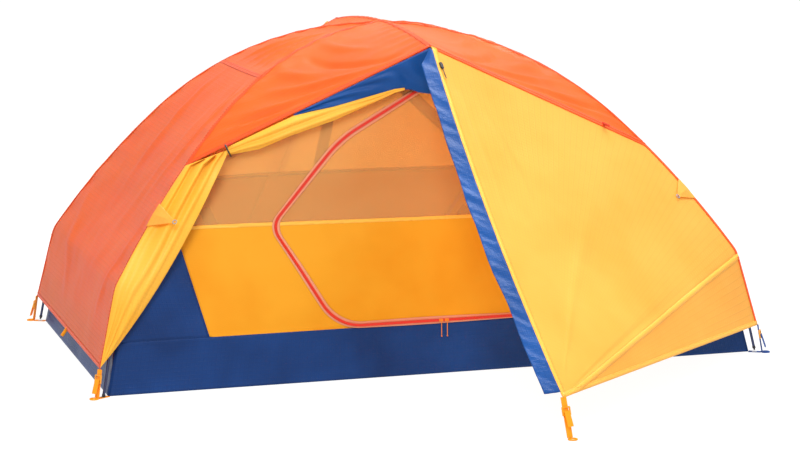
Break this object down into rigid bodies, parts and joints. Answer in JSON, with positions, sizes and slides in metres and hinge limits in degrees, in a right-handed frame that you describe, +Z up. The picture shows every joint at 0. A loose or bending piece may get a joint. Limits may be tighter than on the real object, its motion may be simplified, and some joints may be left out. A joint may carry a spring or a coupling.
{
  "type": "dome tent",
  "caption": "Pitched dome tent: crossed poles carry an inner tent with doors, and a fly sheet whose vestibules fold open over each door.",
  "frame": {"origin": "middle of the floor, on the ground", "axes": "+X along the floor's long side, -Y out of the front door, +Z up"},
  "size_m": [2.3672, 3.504, 1.1391],
  "materials": {
    "fly_orange": "coated ripstop nylon",
    "vestibule_yellow": "coated ripstop nylon",
    "flap_blue": "coated ripstop nylon",
    "tub_navy": "coated floor nylon",
    "wall_amber": "breathable woven nylon",
    "mesh": "fine insect mesh",
    "zip_red": "coil zip on woven tape",
    "webbing_yellow": "woven webbing",
    "cord_grey": "elastic braided cord",
    "pole_tube": "anodised tube",
    "black_plastic": "moulded acetal",
    "grommet_metal": "pressed and plated"
  },
  "bodies": {
    "root": {"main_pole_left_front": "pole_tube", "main_pole_right_front": "pole_tube", "brow_pole": "pole_tube", "pole_ferrules": "pole_tube", "pole_tips": "black_plastic", "shock_cords": "cord_grey", "crown_clip": "black_plastic", "pole_clips": "black_plastic", "clip_tabs": "webbing_yellow", "floor_panel": "tub_navy", "tub_front": "tub_navy", "tub_back": "tub_navy", "tub_ends": "tub_navy", "corner_gussets": "tub_navy", "lower_wall_front": "wall_amber", "lower_wall_back": "wall_amber", "lower_wall_ends": "wall_amber", "mesh_front": "mesh", "mesh_back": "mesh", "mesh_ends": "mesh", "roof_mesh_front": "mesh", "roof_mesh_back": "mesh", "front_door_zip": "zip_red", "back_door_zip": "zip_red", "corner_webbing": "webbing_yellow", "corner_grommets": "grommet_metal", "fly_end_left": "fly_orange", "fly_end_right": "fly_orange", "fly_crown_panels": "fly_orange", "fly_roof_front_left": "fly_orange", "fly_roof_front_right": "fly_orange", "fly_roof_back_left": "fly_orange", "fly_roof_back_right": "fly_orange", "front_vestibule_side": "vestibule_yellow", "front_gathered_door": "vestibule_yellow", "front_brow_lining": "flap_blue", "back_vestibule_sides": "vestibule_yellow", "corner_straps": "webbing_yellow", "corner_buckles": "black_plastic", "tie_backs": "black_plastic"},
    "front_inner_door": {"front_door_cloth": "wall_amber", "front_door_mesh": "mesh"},
    "back_inner_door": {"back_door_cloth": "wall_amber", "back_door_mesh": "mesh"},
    "front_zip_slider_left": {"front_zip_slider_left": "zip_red"},
    "front_zip_slider_right": {"front_zip_slider_right": "zip_red"},
    "back_zip_slider": {"back_zip_slider": "zip_red"},
    "front_vestibule_door": {"front_vestibule_door": "vestibule_yellow", "front_storm_flap": "flap_blue", "front_stake_strap": "webbing_yellow"},
    "front_fly_slider": {"front_fly_slider": "zip_red"},
    "back_left_door": {"back_left_door": "vestibule_yellow", "back_stake_strap": "webbing_yellow"},
    "back_fly_slider": {"back_fly_slider": "zip_red"},
    "back_right_door": {"back_right_door": "vestibule_yellow"},
    "guy_flap_front_left": {"guy_flap_front_left": "vestibule_yellow"},
    "guy_flap_front_right": {"guy_flap_front_right": "vestibule_yellow"},
    "guy_flap_back_left": {"guy_flap_back_left": "vestibule_yellow"},
    "guy_flap_back_right": {"guy_flap_back_right": "vestibule_yellow"}
  },
  "joints": [
    {"name": "front_inner_door_swing", "type": "hinge", "parent": "root", "child": "front_inner_door", "pos_m": [0.42, -0.666, 0.17], "axis": [0.4054, -0.0837, -0.9103], "range_deg": [0, 95]},
    {"name": "back_inner_door_swing", "type": "hinge", "parent": "root", "child": "back_inner_door", "pos_m": [-0.42, 0.666, 0.17], "axis": [-0.4054, 0.0837, -0.9103], "range_deg": [0, 95]},
    {"name": "front_zip_left_slide", "type": "slide", "parent": "root", "child": "front_zip_slider_left", "axis": [-1, 0, 0], "range_m": [0, 0.2]},
    {"name": "front_zip_right_slide", "type": "slide", "parent": "root", "child": "front_zip_slider_right", "axis": [1, 0, 0], "range_m": [0, 0.3]},
    {"name": "back_zip_slide", "type": "slide", "parent": "root", "child": "back_zip_slider", "axis": [-1, 0, 0], "range_m": [0, 0.3]},
    {"name": "front_vestibule_fold", "type": "hinge", "parent": "root", "child": "front_vestibule_door", "pos_m": [0.0565, -0.69078, 1.16129], "axis": [-0.7524, 0.0449, 0.6572], "range_deg": [0, 100]},
    {"name": "front_fly_zip_slide", "type": "slide", "parent": "front_vestibule_door", "child": "front_fly_slider", "axis": [0.0609, -0.7383, -0.6717], "range_m": [0, 1.25]},
    {"name": "back_left_fold", "type": "hinge", "parent": "root", "child": "back_left_door", "pos_m": [-0.0565, 0.69078, 1.16129], "axis": [0.7524, -0.0449, 0.6572], "range_deg": [0, 100]},
    {"name": "back_fly_zip_slide", "type": "slide", "parent": "back_left_door", "child": "back_fly_slider", "axis": [0.0609, -0.7383, 0.6717], "range_m": [0, 1.15]},
    {"name": "back_right_fold", "type": "hinge", "parent": "root", "child": "back_right_door", "pos_m": [0.04912, 0.69186, 1.15291], "axis": [0.7524, 0.0449, -0.6572], "range_deg": [0, 100]},
    {"name": "guy_flap_front_left_lift", "type": "hinge", "parent": "root", "child": "guy_flap_front_left", "pos_m": [-0.93889, -0.5809, 0.57144], "axis": [-0.5632, -0.3457, -0.7505], "range_deg": [0, 90]},
    {"name": "guy_flap_front_right_lift", "type": "hinge", "parent": "root", "child": "guy_flap_front_right", "pos_m": [0.93362, -0.57327, 0.56397], "axis": [-0.5632, 0.3457, 0.7505], "range_deg": [0, 90]},
    {"name": "guy_flap_back_left_lift", "type": "hinge", "parent": "root", "child": "guy_flap_back_left", "pos_m": [-0.93362, 0.57327, 0.56397], "axis": [0.5632, -0.3457, 0.7505], "range_deg": [0, 90]},
    {"name": "guy_flap_back_right_lift", "type": "hinge", "parent": "root", "child": "guy_flap_back_right", "pos_m": [0.9336, 0.57329, 0.56397], "axis": [0.5632, 0.3457, -0.7505], "range_deg": [0, 90]}
  ]
}
